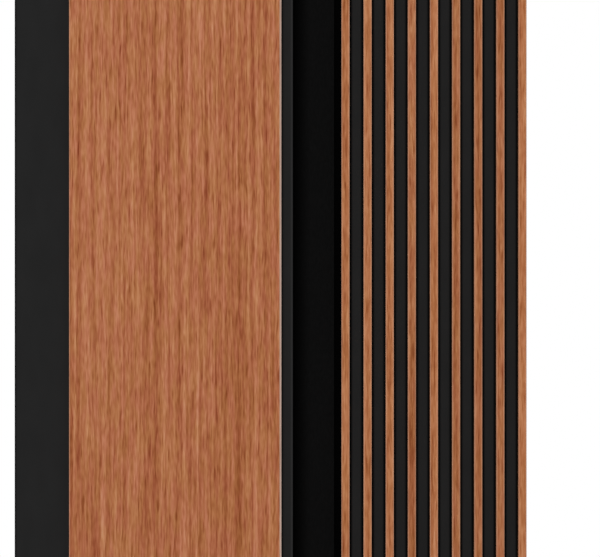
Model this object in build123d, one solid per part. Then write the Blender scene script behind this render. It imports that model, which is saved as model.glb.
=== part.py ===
from build123d import *
import os

# Slatted wall panel, in millimetres.
# A dark backing board carries one wide wood-faced board and a row of slim slats,
# which are glued to it and stapled from behind.
# +X runs from left to right as seen from the room, +Z is up, and the room is on the -Y side.
# The origin is the centre of the back face, which lies against the wall.

# Whole panel
PANEL_HEIGHT = 1200.0
BACKING_THICKNESS = 12.0
FACING_THICKNESS = 10.0

# Strips across the front, from left to right
MARGIN_WIDTH = 64.5
BOARD_WIDTH = 248.5
LIP_WIDTH = 14.4
CHANNEL_WIDTH = 56.0
SLAT_COUNT = 9
SLAT_WIDTH = 9.4
SLAT_GAP = 16.5

# Channel routed into the backing, with a deeper kerf at the foot of the first slat
CHANNEL_FLOOR = 6.0
KERF_WIDTH = 8.5
KERF_FLOOR = 3.0
CHANNEL_EASE = 1.0

# Long front edges of the wood pieces
BOARD_BEVEL = 2.0
BOARD_ROUND = 0.8
SLAT_ROUND = 0.6

# Narrow-crown staples, driven from the back with the crown along the slat
STAPLE_CROWN = 5.8
STAPLE_WIRE_WIDTH = 1.25
STAPLE_WIRE_THICKNESS = 1.0
STAPLE_POINT_LENGTH = 1.0
STAPLE_SINK = 0.3
STAPLE_COVER = 2.0
STAPLE_CLEARANCE = 0.05
STAPLE_ROWS = 5
STAPLE_END_DISTANCE = 60.0
BOARD_STAPLE_COLUMNS = 3
BOARD_STAPLE_INSET = 40.0

# Places across the panel
SLAT_PITCH = SLAT_WIDTH + SLAT_GAP
SLAT_FIELD_WIDTH = SLAT_COUNT * SLAT_PITCH - SLAT_GAP
PANEL_WIDTH = MARGIN_WIDTH + BOARD_WIDTH + LIP_WIDTH + CHANNEL_WIDTH + SLAT_FIELD_WIDTH
PANEL_LEFT = -PANEL_WIDTH / 2
PANEL_RIGHT = PANEL_WIDTH / 2
BOARD_LEFT = PANEL_LEFT + MARGIN_WIDTH
BOARD_RIGHT = BOARD_LEFT + BOARD_WIDTH
CHANNEL_LEFT = BOARD_RIGHT + LIP_WIDTH
CHANNEL_RIGHT = CHANNEL_LEFT + CHANNEL_WIDTH
SLAT_CENTRES = [CHANNEL_RIGHT + SLAT_WIDTH / 2 + SLAT_PITCH * index for index in range(SLAT_COUNT)]

# Depths, measured from the back face towards the room
SEAT_Y = -BACKING_THICKNESS
FACE_Y = SEAT_Y - FACING_THICKNESS
CROWN_Y = -STAPLE_SINK
STAPLE_TIP_Y = FACE_Y + STAPLE_COVER

# Places of the staples
STAPLE_ROW_SPACING = (PANEL_HEIGHT - 2 * STAPLE_END_DISTANCE) / (STAPLE_ROWS - 1)
STAPLE_BOTTOM_ROW = STAPLE_END_DISTANCE - PANEL_HEIGHT / 2
STAPLE_HEIGHTS = [STAPLE_BOTTOM_ROW + STAPLE_ROW_SPACING * row for row in range(STAPLE_ROWS)]
BOARD_STAPLE_SPACING = (BOARD_WIDTH - 2 * BOARD_STAPLE_INSET) / (BOARD_STAPLE_COLUMNS - 1)
BOARD_STAPLE_LEFT = BOARD_LEFT + BOARD_STAPLE_INSET
BOARD_STAPLE_XS = [
    BOARD_STAPLE_LEFT + BOARD_STAPLE_SPACING * column for column in range(BOARD_STAPLE_COLUMNS)
]


def strip(left, right, front, back):
    """Rectangle of the panel's cross-section, between two sides and two depths."""
    centre = Pos((left + right) / 2, (front + back) / 2)
    return centre * Rectangle(right - left, back - front)


def full_height(section):
    """Cross-section drawn out to the panel's whole height, half above and half below the origin."""
    return extrude(section, PANEL_HEIGHT / 2, both=True)


def upright_edge(solid, x, y):
    """Long vertical edge of a solid that stands nearest to a point of the cross-section."""
    return solid.edges().filter_by(Axis.Z).sort_by_distance((x, y, 0))[0]


def bent_staple(top_y, clearance):
    """Staple with two chisel-pointed legs along -Y, its top at top_y, let out by a clearance."""
    outer = STAPLE_CROWN / 2 + clearance
    inner = STAPLE_CROWN / 2 - STAPLE_WIRE_THICKNESS - clearance
    under_crown = CROWN_Y - STAPLE_WIRE_THICKNESS - clearance
    tip = STAPLE_TIP_Y - clearance
    shoulder = tip + STAPLE_POINT_LENGTH
    outline = Polyline(
        (top_y, -outer),
        (top_y, outer),
        (tip, outer),
        (shoulder, inner),
        (under_crown, inner),
        (under_crown, -inner),
        (shoulder, -inner),
        (tip, -outer),
        close=True,
    )
    return extrude(Plane.YZ * make_face(outline), STAPLE_WIRE_WIDTH / 2 + clearance, both=True)


def at_staple_places(tool, columns):
    """Copies of a staple or of its slot, one for each column and row."""
    return [Pos(x, 0, z) * tool for x in columns for z in STAPLE_HEIGHTS]


def make_backing_board():
    """Dark board behind everything, with the stepped channel and the staples' slots."""
    section = strip(PANEL_LEFT, PANEL_RIGHT, SEAT_Y, 0)
    section -= strip(CHANNEL_LEFT, CHANNEL_RIGHT, SEAT_Y, -CHANNEL_FLOOR)
    section -= strip(CHANNEL_RIGHT - KERF_WIDTH, CHANNEL_RIGHT, SEAT_Y, -KERF_FLOOR)
    board = full_height(section)
    board = chamfer(upright_edge(board, CHANNEL_LEFT, SEAT_Y), CHANNEL_EASE)
    return board - at_staple_places(staple_slot, BOARD_STAPLE_XS + SLAT_CENTRES)


def make_wide_board():
    """Plain wide board, softly rounded on its left front edge and bevelled on its right one."""
    board = full_height(strip(BOARD_LEFT, BOARD_RIGHT, FACE_Y, SEAT_Y))
    board = fillet(upright_edge(board, BOARD_LEFT, FACE_Y), BOARD_ROUND)
    board = chamfer(upright_edge(board, BOARD_RIGHT, FACE_Y), BOARD_BEVEL)
    return board - at_staple_places(staple_slot, BOARD_STAPLE_XS)


def make_slat(centre_x):
    """One slim slat with both front edges rounded."""
    left = centre_x - SLAT_WIDTH / 2
    right = centre_x + SLAT_WIDTH / 2
    slat = full_height(strip(left, right, FACE_Y, SEAT_Y))
    slat = fillet([upright_edge(slat, left, FACE_Y), upright_edge(slat, right, FACE_Y)], SLAT_ROUND)
    return slat - at_staple_places(staple_slot, [centre_x])


staple = bent_staple(CROWN_Y, 0)
staple_slot = bent_staple(0, STAPLE_CLEARANCE)

nodes = {
    "backing_board": make_backing_board(),
    "wide_board": make_wide_board(),
    "board_staples": Compound(at_staple_places(staple, BOARD_STAPLE_XS)),
    "slat_staples": Compound(at_staple_places(staple, SLAT_CENTRES)),
}
for number, slat_x in enumerate(SLAT_CENTRES, start=1):
    nodes[f"slat_{number}"] = make_slat(slat_x)

os.makedirs("parts", exist_ok=True)
for name, shape in nodes.items():
    export_step(shape, os.path.join("parts", f"{name}.step"))
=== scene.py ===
# %% [markdown]
# # A slatted wall panel
#
# This lesson dresses a wall panel: a dark backing board with one wide wood-faced board, a routed
# channel and a row of slim wood slats. The solids come from the imported model and are already right in
# shape and size, so nearly all the work here is in the finishes: straight-grained wood, matt dark
# board, the raw black core where the channel was routed, and dull wire staples at the back.
#
# The frame is loaded first. Its box is kept, to be set beside the dressed panel's box at the end.

# %% Load the frame
import math

import bmesh
import bpy
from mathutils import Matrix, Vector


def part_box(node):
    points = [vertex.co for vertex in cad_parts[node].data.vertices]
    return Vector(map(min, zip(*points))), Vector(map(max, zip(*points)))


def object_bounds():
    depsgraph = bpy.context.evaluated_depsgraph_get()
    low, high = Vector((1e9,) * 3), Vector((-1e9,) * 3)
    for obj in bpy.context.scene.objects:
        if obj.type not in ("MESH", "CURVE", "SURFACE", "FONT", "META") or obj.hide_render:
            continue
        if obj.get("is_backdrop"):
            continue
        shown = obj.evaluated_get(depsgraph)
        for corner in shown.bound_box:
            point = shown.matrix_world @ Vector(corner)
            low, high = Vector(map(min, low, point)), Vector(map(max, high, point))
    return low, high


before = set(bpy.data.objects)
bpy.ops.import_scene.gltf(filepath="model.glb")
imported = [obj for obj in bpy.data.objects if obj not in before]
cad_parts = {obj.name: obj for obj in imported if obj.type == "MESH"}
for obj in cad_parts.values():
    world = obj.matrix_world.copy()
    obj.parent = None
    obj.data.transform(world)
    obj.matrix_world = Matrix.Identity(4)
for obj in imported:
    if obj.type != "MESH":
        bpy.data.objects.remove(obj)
cad_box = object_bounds()
print("CAD box", [list(corner) for corner in cad_box])

# %% [markdown]
# ## Where things are
#
# The finishes need places: where a slat ends, or where the channel starts. They could be typed in again,
# but then they would go stale when a size changes, so each is read from the solids. X runs across the
# panel, Z is up, and the room is on the -Y side. The channel lies between the lip beside the wide board
# and the first slat. Its right end can be read from that slat. Its left end and the step down to its
# kerf come from the backing's own corners: those deeper than the slats' seat.

# %% Read the places
DEEPER = 0.001
SLATS = sorted(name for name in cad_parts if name.removeprefix("slat_").isdigit())
STAPLES = [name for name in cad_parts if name.endswith("staples")]

backing_low, backing_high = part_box("backing_board")
board_low, board_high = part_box("wide_board")
slat_low, slat_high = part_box(SLATS[0])
seat_y = backing_low.y
front_y = board_low.y
panel_half = (backing_high.x - backing_low.x) / 2
board_middle = (board_low.x + board_high.x) / 2
board_half = (board_high.x - board_low.x) / 2
slat_middle = (slat_low.x + slat_high.x) / 2
slat_half = (slat_high.x - slat_low.x) / 2
slat_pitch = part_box(SLATS[1])[0].x - slat_low.x
channel_right = slat_low.x

channel_corners = [
    vertex.co.x
    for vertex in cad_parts["backing_board"].data.vertices
    if seat_y + DEEPER < vertex.co.y < backing_high.y - DEEPER
    and board_high.x < vertex.co.x < channel_right
]
channel_left = min(channel_corners)
kerf_left = max(channel_corners)
print(len(SLATS), "slats, one every", round(slat_pitch * 1000, 1), "mm")
print("channel from", round(channel_left * 1000, 1), "to", round(channel_right * 1000, 1), "mm")

# %% [markdown]
# ## Signals
#
# A material is a web of nodes. Wiring each one by hand hides the idea behind many lines, so two small
# classes help. The first is the Signal: anything on a wire. Ordinary sums on it add Math nodes, so a
# formula in Python reads like the formula that the surface works out.

# %% Signals
class Signal:
    """What one wire carries."""

    def __init__(self, web, socket):
        self.web = web
        self.socket = socket

    def math(self, operation, first, second=0.0):
        return self.web.node("ShaderNodeMath", {"operation": operation}, {0: first, 1: second})

    def __add__(self, other):
        return self.math("ADD", self, other)

    def __sub__(self, other):
        return self.math("SUBTRACT", self, other)

    def __rsub__(self, other):
        return self.math("SUBTRACT", other, self)

    def __mul__(self, other):
        return self.math("MULTIPLY", self, other)

    def __truediv__(self, other):
        return self.math("DIVIDE", self, other)

    def __gt__(self, other):
        return self.math("GREATER_THAN", self, other)

    def __lt__(self, other):
        return self.math("LESS_THAN", self, other)

    def __abs__(self):
        return self.math("ABSOLUTE", self)

    def __round__(self):
        return self.math("ROUND", self)

    def at_least(self, other):
        return self.math("MAXIMUM", self, other)

    def at_most(self, other):
        return self.math("MINIMUM", self, other)

    def wave(self):
        """Swings from -1 to 1 and back, once for every whole number."""
        return self.math("SINE", self * math.tau)

    __radd__ = __add__
    __rmul__ = __mul__


print("a signal can be added, multiplied, compared, rounded, limited and made a wave")

# %% [markdown]
# ## Webs
#
# The second class is the Web: the node tree of one material or of the sky. Its `node` method makes any
# node, with its settings set first and its sockets filled after. The methods below it name the few nodes
# that this panel needs often, so that a finish can say `near` or `blend` and not a node's full name.

# %% Webs
class Web:
    """The nodes of one material, or of the sky."""

    def __init__(self, owner):
        owner.use_nodes = True
        self.tree = owner.node_tree
        self.tree.nodes.clear()

    def node(self, kind, settings=None, inputs=None, output=0):
        """Any node, as the signal that comes out of one of its outputs."""
        made = self.tree.nodes.new(kind)
        for name, value in (settings or {}).items():
            if name == "stops":
                self.set_stops(made.color_ramp.elements, value)
            else:
                setattr(made, name, value)
        for key, value in (inputs or {}).items():
            if isinstance(value, Signal):
                self.tree.links.new(value.socket, made.inputs[key])
            else:
                made.inputs[key].default_value = value
        return Signal(self, made.outputs[output]) if made.outputs else None

    def set_stops(self, elements, stops):
        while len(elements) < len(stops):
            elements.new(0.5)
        for element, (position, colour) in zip(elements, stops):
            element.position = position
            element.color = colour

    def place(self):
        """Where on the panel a spot lies."""
        return self.node("ShaderNodeTexCoord", output="Object")

    def split(self, vector):
        return [
            self.node("ShaderNodeSeparateXYZ", inputs={0: vector}, output=axis)
            for axis in ("X", "Y", "Z")
        ]

    def facing(self):
        """The three parts of the direction that the surface faces."""
        return self.split(self.node("ShaderNodeNewGeometry", output="True Normal"))

    def noise(self, place, cells, detail=0.0, shift=(0.0, 0.0, 0.0), lean=0.0):
        """Soft noise about zero: so many cells to the metre along X, Y and Z, shifted and turned."""
        spot = self.node("ShaderNodeMapping", inputs={
            "Vector": place, "Location": shift, "Rotation": (0.0, lean, 0.0), "Scale": cells,
        })
        value = self.node("ShaderNodeTexNoise", inputs={"Vector": spot, "Scale": 1.0, "Detail": detail})
        return value - 0.5

    def rise(self, value, start, end):
        """0 up to start, 1 from end, smooth between."""
        return self.node(
            "ShaderNodeMapRange", {"interpolation_type": "SMOOTHSTEP"},
            {"Value": value, "From Min": start, "From Max": end},
        )

    def near(self, distance, reach):
        """1 where a distance is 0 or less, 0 from its reach on, smooth between."""
        return 1 - self.rise(distance, 0.0, reach)

    def ramp(self, value, stops):
        """A colour from a row of stops."""
        return self.node("ShaderNodeValToRGB", {"stops": stops}, {0: value})

    def blend(self, amount, first, second):
        """From one colour to another."""
        return self.node(
            "ShaderNodeMix", {"data_type": "RGBA"}, {0: amount, 6: first, 7: second}, output=2
        )

    def bump(self, height, distance, strength):
        return self.node(
            "ShaderNodeBump", inputs={"Height": height, "Distance": distance, "Strength": strength}
        )

    def principled(self, **sockets):
        inputs = {name.replace("_", " "): value for name, value in sockets.items()}
        return self.node("ShaderNodeBsdfPrincipled", inputs=inputs)

    def show(self, shader, kind="Material"):
        self.node(f"ShaderNodeOutput{kind}", inputs={"Surface": shader})


print("a web makes any node, and names the ones that are used often")

# %% [markdown]
# ## Paint
#
# Colours are easiest to choose as they look on a screen, from 0 to 255. Shaders count light instead, so
# a small function turns the one into the other by the screen's standard curve.

# %% Paint
def paint(red, green, blue):
    """A colour as seen on a screen, 0 to 255, turned into the light values that shaders use."""
    def light(step):
        share = step / 255
        return share / 12.92 if share <= 0.04045 else ((share + 0.055) / 1.055) ** 2.4
    return (light(red), light(green), light(blue), 1.0)


print("mid grey is", round(paint(128, 128, 128)[0], 3), "of full light")

# %% [markdown]
# ## Straight grain
#
# The wood is a reddish brown with fine, straight, upright grain and no arched figure. Seen closely it is
# several things on top of each other: growth rings, which make a soft rhythm of light and dark bands,
# streaks that run the whole height, slimmer ones an arm or a hand long, short dashes, and thin dark pores.
# An image would be the quick way, but a wave and stretched noise give the same thing at any length. The
# wave makes the rings, and slow noise lets their spacing drift. The streaks are noise with cells that are
# narrow across and long upright, pushed a little sideways so that no line is ruled. Such cells lie in level
# rows, which would show as bands across the board, so they are turned before they are stretched, by turns
# to the left and to the right. The pores are the same noise, cut off so that only its peaks are left.

# %% The grain
# Width and length of each kind of streak in metres, and its strength
STREAKS = [
    (0.0078, 1.600, 0.20),
    (0.0046, 0.700, 0.38),
    (0.0030, 0.140, 0.40),
    (0.0024, 0.050, 0.42),
    (0.0020, 0.018, 0.34),
    (0.0014, 0.009, 0.40),
]
PORE_WIDTH = 0.0020
PORE_LENGTH = 0.030
PORE_START = 0.10
PORE_FULL = 0.25
PORE_STRENGTH = 0.24
RING_PITCH = 0.0152
RING_DRIFT = 2.0
RING_DRIFT_CELLS = (12, 12, 0.7)
RING_STRENGTH = 0.068
LEAN = math.radians(9)
SWAY = 0.0016
SWAY_CELLS = (12, 12, 4)


def streak_cells(width, length):
    """Cells to the metre of a streak: as deep as it is wide, and long upright."""
    return (1 / width, 1 / width, 1 / length)


def grain_tone(web, place, shift, middle):
    """How light the wood is, from about 0 to 1: rings, streaks and pores on a middle tone."""
    sway = SWAY * web.noise(place, SWAY_CELLS, shift=shift)
    offset = web.node("ShaderNodeCombineXYZ", inputs={"X": sway})
    swayed = web.node("ShaderNodeVectorMath", {"operation": "ADD"}, {0: place, 1: offset})
    peaks = web.noise(swayed, streak_cells(PORE_WIDTH, PORE_LENGTH), shift=shift, lean=LEAN)
    tone = middle - PORE_STRENGTH * web.rise(peaks, PORE_START, PORE_FULL)
    drift = RING_DRIFT * web.noise(place, RING_DRIFT_CELLS, shift=shift)
    across, _, _ = web.split(swayed)
    tone = tone + RING_STRENGTH * (across / RING_PITCH + drift).wave()
    lean = LEAN
    for width, length, strength in STREAKS:
        tone = tone + strength * web.noise(swayed, streak_cells(width, length), shift=shift, lean=lean)
        lean = -lean
    return tone


print("growth rings every", round(RING_PITCH * 1000, 1), "mm")
print(len(STREAKS), "kinds of streak, the longest", STREAKS[0][1], "m long")

# %% [markdown]
# ## Colours of the grain
#
# A dark streak is redder and deeper in colour than a light one, so the colour comes from a ramp and not
# from a plain dimming. One ramp alone would make every streak of one darkness the same colour. Real wood
# drifts between a more orange and a more pink brown, so two ramps take turns in soft patches.

# %% Grain colours
ORANGE_TONES = [
    (0.00, paint(124, 59, 17)),
    (0.25, paint(144, 80, 36)),
    (0.50, paint(165, 101, 56)),
    (0.75, paint(182, 120, 76)),
    (1.00, paint(194, 138, 96)),
]
PINK_TONES = [
    (0.00, paint(124, 52, 20)),
    (0.25, paint(144, 73, 39)),
    (0.50, paint(165, 94, 59)),
    (0.75, paint(182, 113, 79)),
    (1.00, paint(194, 131, 99)),
]
DRIFT_CELLS = (130, 130, 24)
DRIFT_EDGE = 0.2


def grain_colour(web, place, tone, shift, pink_share):
    """Colour of a tone: orange brown, with patches of pink brown up to their share."""
    drift = web.noise(place, DRIFT_CELLS, detail=1.0, shift=shift)
    pink = pink_share * web.rise(drift, -DRIFT_EDGE, DRIFT_EDGE)
    return web.blend(pink, web.ramp(tone, ORANGE_TONES), web.ramp(tone, PINK_TONES))


print(len(ORANGE_TONES), "tones from dark pore to light streak")

# %% [markdown]
# ## Sides of the board and of the slats
#
# Painted highlights on the long front edges, the line of the wrap on a sawn end and the painted shade at
# the foot of the wood all follow the sides of the board and of the slats. A mask painted on each piece
# would do.
# Working out how far a place lies from the middle is simpler: one rule serves the board, and another all
# the slats at once.

# %% Sides of the wood
def off_board(across):
    """How far a place lies from the wide board's middle."""
    return abs(across - board_middle)


def slat_number(across):
    """Number of the nearest slat, with the first as 0."""
    return round((across - slat_middle) / slat_pitch)


def off_slat(across):
    """How far a place lies from the middle of the nearest slat."""
    return abs(across - slat_middle - slat_pitch * slat_number(across))


print("sides lie", round(board_half * 1000, 1), "mm from the middle of the board")
print("and", round(slat_half * 1000, 1), "mm from the middle of a slat")

# %% [markdown]
# ## Bare core
#
# The board and the slats are fibreboard wrapped in wood. Their sawn ends show the bare core: speckled,
# paler inside and denser towards its two skins. The grain of the front would be wrong here, so the
# speckle is fine noise with the same cells in all three directions, and it gets darker with the distance
# from the middle of the core.

# %% Bare core
CORE_TONES = [(0.2, paint(138, 104, 76)), (0.8, paint(184, 150, 118))]
CORE_CELLS = (900, 900, 900)
SKIN_SHADE = 0.25


def bare_core(web, place, behind_front):
    """Fibreboard where it is sawn: speckled, and darker towards the front and the back."""
    speckle = web.noise(place, CORE_CELLS, detail=2.0) + 0.5
    half_depth = (seat_y - front_y) / 2
    from_middle = abs(behind_front - half_depth) / half_depth
    return web.ramp(speckle + SKIN_SHADE * (0.5 - from_middle), CORE_TONES)


print("core", round((seat_y - front_y) * 1000, 1), "mm thick")

# %% [markdown]
# ## Wood facing
#
# The wrap carries its grain over the front and the sides, and shows as a thin line round the sawn ends. It
# stops at the wide board's right bevel, which is painted in pale tones as a thin highlight. The long front
# edges are painted a little paler too, as a highlight. Three materials, for fronts, sides and ends, would
# need the solids' faces sorted. One finish that picks by place, and by the way that the surface faces,
# leaves the solids alone. Its sheen is low, and lower still in the dark streaks, which also lie a hair
# deeper.

# %% Wood finish
# Pale tones of the painted highlight on the wide board's right bevel
BEVEL_HIGHLIGHT_TONES = [(0.2, paint(196, 165, 148)), (0.8, paint(220, 192, 176))]
# Paler colour of the painted highlight on the long front edges
EDGE_HIGHLIGHT_WOOD = paint(204, 162, 138)
WRAP = 0.0006
EDGE_HIGHLIGHT_REACH = 0.0017
EDGE_HIGHLIGHT_STRENGTH = 0.45
BLACK = (0.0, 0.0, 0.0, 1.0)
END_FACING = 0.7
BEVEL_FACING = 0.5
WOOD_SPECULAR = 0.2
WOOD_ROUGHNESS = 0.75
STREAK_GLOSS = 0.25
SAWN_ROUGHNESS = 0.15
GRAIN_DEPTH = 0.0003
GRAIN_BUMP = 0.5


def wood_finish(name, shift, middle, pink_share, inside, shade=0.0, bevelled=False):
    """Wrapped fibreboard, dimmed by a shade. `inside` tells how far in from its side a place lies."""
    material = bpy.data.materials.new(name)
    web = Web(material)
    place = web.place()
    across, depth, _ = web.split(place)
    from_side = inside(across)
    behind_front = depth - front_y

    tone = grain_tone(web, place, shift, middle)
    # Painted highlight: the long front edges are drawn paler
    painted_highlight = EDGE_HIGHLIGHT_STRENGTH * web.near(from_side.at_least(behind_front), EDGE_HIGHLIGHT_REACH)
    wood = web.blend(painted_highlight, grain_colour(web, place, tone, shift, pink_share), EDGE_HIGHLIGHT_WOOD)
    wood = web.blend(shade, wood, BLACK)

    to_right, to_wall, to_top = web.facing()
    sawn_end = abs(to_top) > END_FACING
    wrapped = from_side.at_most(behind_front) < WRAP
    colour = web.blend(sawn_end * (1 - wrapped), wood, bare_core(web, place, behind_front))
    if bevelled:
        # Painted highlight: the right bevel is drawn in pale tones
        bevel = (to_right > BEVEL_FACING) * (to_wall < -BEVEL_FACING)
        colour = web.blend(bevel, colour, web.ramp(tone, BEVEL_HIGHLIGHT_TONES))

    web.show(web.principled(
        Base_Color=colour,
        Roughness=WOOD_ROUGHNESS - STREAK_GLOSS * tone + SAWN_ROUGHNESS * sawn_end,
        Specular_IOR_Level=WOOD_SPECULAR,
        Normal=web.bump(tone, GRAIN_DEPTH, GRAIN_BUMP),
    ))
    return material


# The paler edges are a painted highlight
print("edges are rubbed paler over", round(EDGE_HIGHLIGHT_REACH * 1000, 1), "mm")

# %% [markdown]
# ## Board wood and slat wood
#
# The board and the slats share one way of finishing, but not one sheet of wrap. Each sheet reads the
# noise at a place of its own, so no streak runs on from the board to a slat. The slats come from two lots
# of wrap: five are light and rather orange, and four are dimmer and a little pinker. A finish for each
# slat would be more than they need, so there is one for each lot.

# %% Board wood and slat wood
BOARD_SHEET = (0.0, 0.0, 0.0)
SLAT_SHEET = (8.4, 0.2, 4.5)
BOARD_TONE = 0.522
SLAT_TONE = 0.56
BOARD_PINK = 1.0
LIGHT_SLAT_PINK = 0.33
DARK_SLAT_PINK = 0.6
DARK_SLAT_SHADE = 0.07


def inside_board(across):
    return board_half - off_board(across)


def inside_slat(across):
    return slat_half - off_slat(across)


board_wood = wood_finish("board_wood", BOARD_SHEET, BOARD_TONE, BOARD_PINK, inside_board, bevelled=True)
light_slat_wood = wood_finish("light_slat_wood", SLAT_SHEET, SLAT_TONE, LIGHT_SLAT_PINK, inside_slat)
dark_slat_wood = wood_finish(
    "dark_slat_wood", SLAT_SHEET, SLAT_TONE, DARK_SLAT_PINK, inside_slat, shade=DARK_SLAT_SHADE
)
print("wood finishes", board_wood.name, light_slat_wood.name, dark_slat_wood.name)

# %% [markdown]
# ## Front of the backing
#
# The backing is fibreboard dyed black, and its front has a matt dark grey face. Painted shade runs as thin
# dark lines where wood sits on it, a painted highlight lies along the lip beside the channel near its edge,
# and the outer edges show a line of core. Strips of mesh could make these lines, but they have no thickness
# on the real board, so they are blends by the place across.

# %% Front face
FACE_TONES = [(0.3, paint(33, 33, 33)), (0.7, paint(35, 35, 35))]
# Black of the painted shade at the foot of the wood, also used for the core line at the outer edges
FOOT_SHADOW_AND_EDGE_BLACK = paint(4, 4, 4)
# Painted highlight along the lip's edge beside the channel
LIP_HIGHLIGHT = paint(44, 44, 44)
MOTTLE_CELLS = (60, 60, 25)
BOARD_FOOT_SHADOW_REACH = 0.0022
SLAT_FOOT_SHADOW_WIDTH = 0.0012
SLAT_FOOT_SHADOW_REACH = 0.0030
EDGE_REACH = 0.0032
LIP_HIGHLIGHT_PLACE = 0.0024
LIP_HIGHLIGHT_REACH = 0.0016


def front_face(web, place, across):
    """The matt grey face, with painted shade at the foot of the wood, a painted highlight on the lip and
    its dark outer edges.
    """
    mottle = web.noise(place, MOTTLE_CELLS, detail=3.0) + 0.5
    # Painted highlight on the lip, and painted shade where the board and the slats meet the face
    painted_highlight = web.near(abs(across - (channel_left - LIP_HIGHLIGHT_PLACE)), LIP_HIGHLIGHT_REACH)
    board_foot_shadow = web.near(off_board(across) - board_half, BOARD_FOOT_SHADOW_REACH)
    beside_slat = off_slat(across) - slat_half - SLAT_FOOT_SHADOW_WIDTH
    slat_foot_shadow = web.near(beside_slat, SLAT_FOOT_SHADOW_REACH) * (across > channel_right)
    edge = web.near(panel_half - abs(across), EDGE_REACH)
    grey = web.blend(painted_highlight, web.ramp(mottle, FACE_TONES), LIP_HIGHLIGHT)
    return web.blend(board_foot_shadow.at_least(slat_foot_shadow).at_least(edge), grey, FOOT_SHADOW_AND_EDGE_BLACK)


# The seam beside a slat is painted shade
print("seam beside a slat", round((SLAT_FOOT_SHADOW_WIDTH + SLAT_FOOT_SHADOW_REACH) * 1000, 1), "mm wide")

# %% [markdown]
# ## Core in the channel, with painted shade
#
# In the routed channel the black core lies bare. Shade in the corner at the left and in the kerf is
# painted into its colour: in a deeper groove the shadow alone could do that, but here soft light still
# reaches the bottom, so the colour is drawn darker there as painted shade.

# %% Channel core
CHANNEL_TONES = [(0.3, paint(10, 10, 10)), (0.7, paint(14, 14, 14))]
# Black of the painted shade in the channel's left corner and in the kerf
CHANNEL_SHADE_BLACK = paint(1, 1, 1)
CORNER_SHADE_REACH = 0.022


def channel_core_with_shade(web, fibres, across):
    """The bare core in the channel, with painted shade darkest at its left and in the kerf."""
    # Painted shade: darker towards the left wall and all through the kerf
    from_wall = web.rise(across, channel_left, channel_left + CORNER_SHADE_REACH)
    in_kerf = (across > kerf_left) * (across < channel_right)
    return web.blend(1 - from_wall * (1 - in_kerf), web.ramp(fibres, CHANNEL_TONES), CHANNEL_SHADE_BLACK)


print("kerf", round((channel_right - kerf_left) * 1000, 1), "mm wide")

# %% [markdown]
# ## Whole backing
#
# The sawn edges and the sanded back are a greyer black than the channel, with sanding marks along the
# back. One finish holds the front, the channel, the edges and the back, chosen by depth, place across and
# direction, as the wood's does. Each has its own fine relief: an emboss in front, specks at the back and
# fibres where the board is cut.

# %% Backing finish
BACK_TONES = [(0.2, paint(50, 49, 48)), (0.8, paint(62, 61, 59))]
EDGE_TONES = [(0.2, paint(24, 24, 24)), (0.8, paint(38, 37, 36))]
EMBOSS_CELLS = (1400, 1400, 700)
FIBRE_CELLS = (700, 700, 160)
SANDING_CELLS = (650, 650, 9)
SANDING_STRENGTH = 0.5
SPECK_CELLS = (1100, 1100, 1100)
FLAT_FACING = 0.9
BACKING_SPECULAR = 0.02
CORE_ROUGHNESS = 0.9
FACE_GLOSS = 0.25
SPECK_ROUGHNESS = 0.1
RELIEF_DEPTH = 0.0002
RELIEF_BUMP = 0.4


def backing_finish():
    material = bpy.data.materials.new("dark_backing")
    web = Web(material)
    place = web.place()
    across, depth, _ = web.split(place)
    _, to_wall, to_top = web.facing()
    fibres = web.noise(place, FIBRE_CELLS, detail=2.0) + 0.5
    emboss = web.noise(place, EMBOSS_CELLS, detail=1.0) + 0.5
    specks = web.noise(place, SPECK_CELLS, detail=2.0)
    sanding = 0.5 + SANDING_STRENGTH * web.noise(place, SANDING_CELLS, detail=3.0) + specks

    at_back = to_wall > FLAT_FACING
    at_front = (to_wall < -FLAT_FACING) * (depth < seat_y + DEEPER)
    at_side = abs(across) > panel_half - DEEPER / 2
    at_edge = (abs(to_top) > END_FACING).at_least(at_side) * (1 - at_front)
    colour = channel_core_with_shade(web, fibres, across)
    colour = web.blend(at_edge, colour, web.ramp(fibres, EDGE_TONES))
    colour = web.blend(at_back, colour, web.ramp(sanding, BACK_TONES))
    colour = web.blend(at_front, colour, front_face(web, place, across))
    relief = at_front * emboss + at_back * specks + (1 - at_front) * (1 - at_back) * fibres

    web.show(web.principled(
        Base_Color=colour,
        Roughness=CORE_ROUGHNESS - FACE_GLOSS * at_front + SPECK_ROUGHNESS * specks,
        Specular_IOR_Level=BACKING_SPECULAR,
        Normal=web.bump(relief, RELIEF_DEPTH, RELIEF_BUMP),
    ))
    return material


dark_backing = backing_finish()
print("backing finish", dark_backing.name)

# %% [markdown]
# ## Staples
#
# At the back the crowns of the staples lie just below the face. They are galvanised wire: a dull metal
# with a soft, slightly uneven shine. A plain grey metal would look like chips of mirror at this size, so
# fine noise varies its colour and its roughness.

# %% Staple finish
ZINC_TONES = [(0.3, paint(172, 170, 165)), (0.7, paint(206, 204, 199))]
SPANGLE_CELLS = (1500, 1500, 500)
WIRE_ROUGHNESS = 0.3
SPANGLE_ROUGHNESS = 0.25
SPANGLE_DEPTH = 0.0001
SPANGLE_BUMP = 0.3


def staple_finish():
    material = bpy.data.materials.new("galvanised_wire")
    web = Web(material)
    spangle = web.noise(web.place(), SPANGLE_CELLS, detail=2.0) + 0.5
    web.show(web.principled(
        Base_Color=web.ramp(spangle, ZINC_TONES),
        Metallic=1.0,
        Roughness=WIRE_ROUGHNESS + SPANGLE_ROUGHNESS * spangle,
        Normal=web.bump(spangle, SPANGLE_DEPTH, SPANGLE_BUMP),
    ))
    return material


galvanised_wire = staple_finish()
print("staple finish", galvanised_wire.name)

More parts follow.
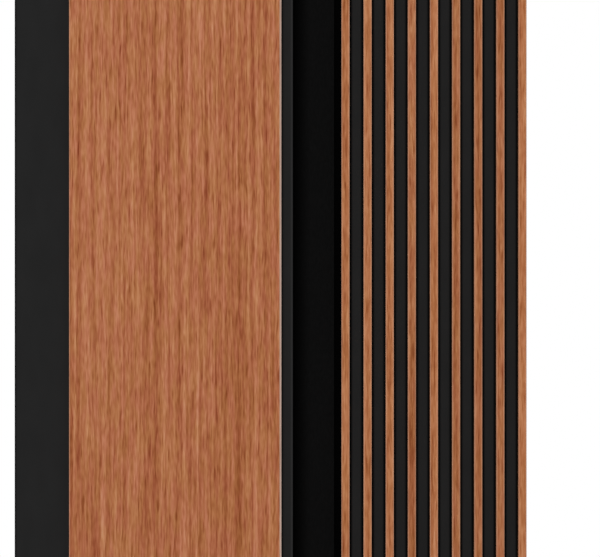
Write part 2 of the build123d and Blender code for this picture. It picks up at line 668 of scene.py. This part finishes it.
# %% [markdown]
# ## Dressing the solids
#
# The solids keep their shapes. Each only gets its finish in place of the plain one that it came with. A
# list says which of the slats are from the darker lot.

# %% Dress the solids
DARK_SLATS = ["slat_4", "slat_6", "slat_7", "slat_8"]


def dress(node, material):
    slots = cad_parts[node].data.materials
    slots.clear()
    slots.append(material)


dress("backing_board", dark_backing)
dress("wide_board", board_wood)
for slat in SLATS:
    dress(slat, dark_slat_wood if slat in DARK_SLATS else light_slat_wood)
for staples in STAPLES:
    dress(staples, galvanised_wire)
print("dressed", len(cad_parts), "solids")

# %% [markdown]
# ## Floor
#
# The panel stands on a plain pale floor that fades to white further out, so no horizon shows. To the
# camera the floor is lifted towards white even close by, because the lamp in front lights it less than
# the panel. It keeps the panel's shadow, and to the light it is the same pale grey all over.

# %% Floor
FLOOR_HALF = 30.0
FLOOR_NEAR = 0.7
FLOOR_FAR = 2.2
FLOOR_LIFT = 0.45
FLOOR_PAINT = paint(242, 242, 242)
FLOOR_ROUGHNESS = 0.9
FLOOR_SPECULAR = 0.1
WHITE = (1.0, 1.0, 1.0, 1.0)


def make_floor():
    mesh = bpy.data.meshes.new("floor")
    sheet = bmesh.new()
    bmesh.ops.create_grid(sheet, x_segments=1, y_segments=1, size=FLOOR_HALF)
    bmesh.ops.translate(sheet, verts=sheet.verts, vec=(0, 0, backing_low.z))
    sheet.to_mesh(mesh)
    sheet.free()
    floor = bpy.data.objects.new("floor", mesh)
    bpy.context.scene.collection.objects.link(floor)
    floor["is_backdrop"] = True
    return floor


def floor_finish():
    material = bpy.data.materials.new("pale_floor")
    web = Web(material)
    reach = web.node("ShaderNodeVectorMath", {"operation": "LENGTH"}, {0: web.place()}, output="Value")
    seen = web.node("ShaderNodeLightPath", output="Is Camera Ray")
    fade = FLOOR_LIFT + (1 - FLOOR_LIFT) * web.rise(reach, FLOOR_NEAR, FLOOR_FAR)
    pale = web.principled(
        Base_Color=FLOOR_PAINT, Roughness=FLOOR_ROUGHNESS, Specular_IOR_Level=FLOOR_SPECULAR
    )
    white = web.node("ShaderNodeEmission", inputs={"Color": WHITE, "Strength": 1.0})
    web.show(web.node("ShaderNodeMixShader", inputs={0: fade * seen, 1: pale, 2: white}))
    return material


floor = make_floor()
floor.data.materials.append(floor_finish())
print("floor at", round(backing_low.z, 3), "m")

# %% [markdown]
# ## Light
#
# The sky is white to the camera and in reflections, and an even, weaker grey to the panel. One large soft
# lamp in front, from the left and above, adds form. It stands far off, so that the panel's top and bottom
# get nearly the same light. Together they add up to about full light on the front, so that a colour
# renders about as it is written.

# %% Sky and lamp
SKY_LIGHT = 0.5
LAMP_SIZE = 6.0
LAMP_DISTANCE = 14.0
LAMP_AZIMUTH = math.radians(-12)
LAMP_ELEVATION = math.radians(10)
LAMP_POWER = 950.0


def make_sky():
    world = bpy.data.worlds.new("studio")
    bpy.context.scene.world = world
    web = Web(world)
    seen = web.node("ShaderNodeLightPath", output="Is Camera Ray")
    mirrored = web.node("ShaderNodeLightPath", output="Is Glossy Ray")
    through = web.node("ShaderNodeLightPath", output="Is Transmission Ray")
    shown = seen.at_least(mirrored).at_least(through)
    grey = web.node("ShaderNodeBackground", inputs={"Color": WHITE, "Strength": SKY_LIGHT})
    white = web.node("ShaderNodeBackground", inputs={"Color": WHITE, "Strength": 1.0})
    web.show(web.node("ShaderNodeMixShader", inputs={0: shown, 1: grey, 2: white}), "World")


def make_lamp():
    light = bpy.data.lights.new("soft_lamp", "AREA")
    light.shape = "DISK"
    light.size = LAMP_SIZE
    light.energy = LAMP_POWER
    lamp = bpy.data.objects.new("soft_lamp", light)
    bpy.context.scene.collection.objects.link(lamp)
    along_floor = LAMP_DISTANCE * math.cos(LAMP_ELEVATION)
    lamp.location = (
        along_floor * math.sin(LAMP_AZIMUTH),
        -along_floor * math.cos(LAMP_AZIMUTH),
        LAMP_DISTANCE * math.sin(LAMP_ELEVATION),
    )
    lamp.rotation_euler = (math.pi / 2 - LAMP_ELEVATION, 0.0, LAMP_AZIMUTH)
    return lamp


make_sky()
soft_lamp = make_lamp()
print("lamp at", [round(value, 2) for value in soft_lamp.location])

# %% [markdown]
# ## Camera
#
# The panel is seen straight on from far off, so its edges stay upright and almost no sides show: a long
# lens does that. The distance follows from two edges, the wide board's left and the last slat's right,
# and from where they lie across the picture.

# %% Camera
PICTURE_WIDTH = 600
BOARD_LEFT_PX = 69.0
PANEL_RIGHT_PX = 526.6
LENS = 180.0
SENSOR = 36.0


def make_camera():
    focal_px = PICTURE_WIDTH * LENS / SENSOR
    per_metre = (PANEL_RIGHT_PX - BOARD_LEFT_PX) / (backing_high.x - board_low.x)
    distance = focal_px / per_metre
    centre_x = board_low.x + (PICTURE_WIDTH / 2 - BOARD_LEFT_PX) / per_metre
    data = bpy.data.cameras.new("camera")
    data.lens = LENS
    data.sensor_width = SENSOR
    data.sensor_fit = "HORIZONTAL"
    camera = bpy.data.objects.new("camera", data)
    camera.location = (centre_x, board_low.y - distance, 0.0)
    camera.rotation_euler = (math.pi / 2, 0.0, 0.0)
    bpy.context.scene.collection.objects.link(camera)
    bpy.context.scene.camera = camera
    return camera


camera = make_camera()
print("camera at", [round(value, 3) for value in camera.location])

# %% [markdown]
# ## Finish
#
# Standard view keeps colours as written. The box of the dressed panel is printed, and set beside the CAD
# box.

# %% Set the sizes side by side and finish
bpy.context.scene.view_settings.view_transform = "Standard"
visual_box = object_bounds()
({
    "cad": [list(corner) for corner in cad_box],
    "visual": [list(corner) for corner in visual_box],
})
print("visual box", [list(corner) for corner in visual_box])
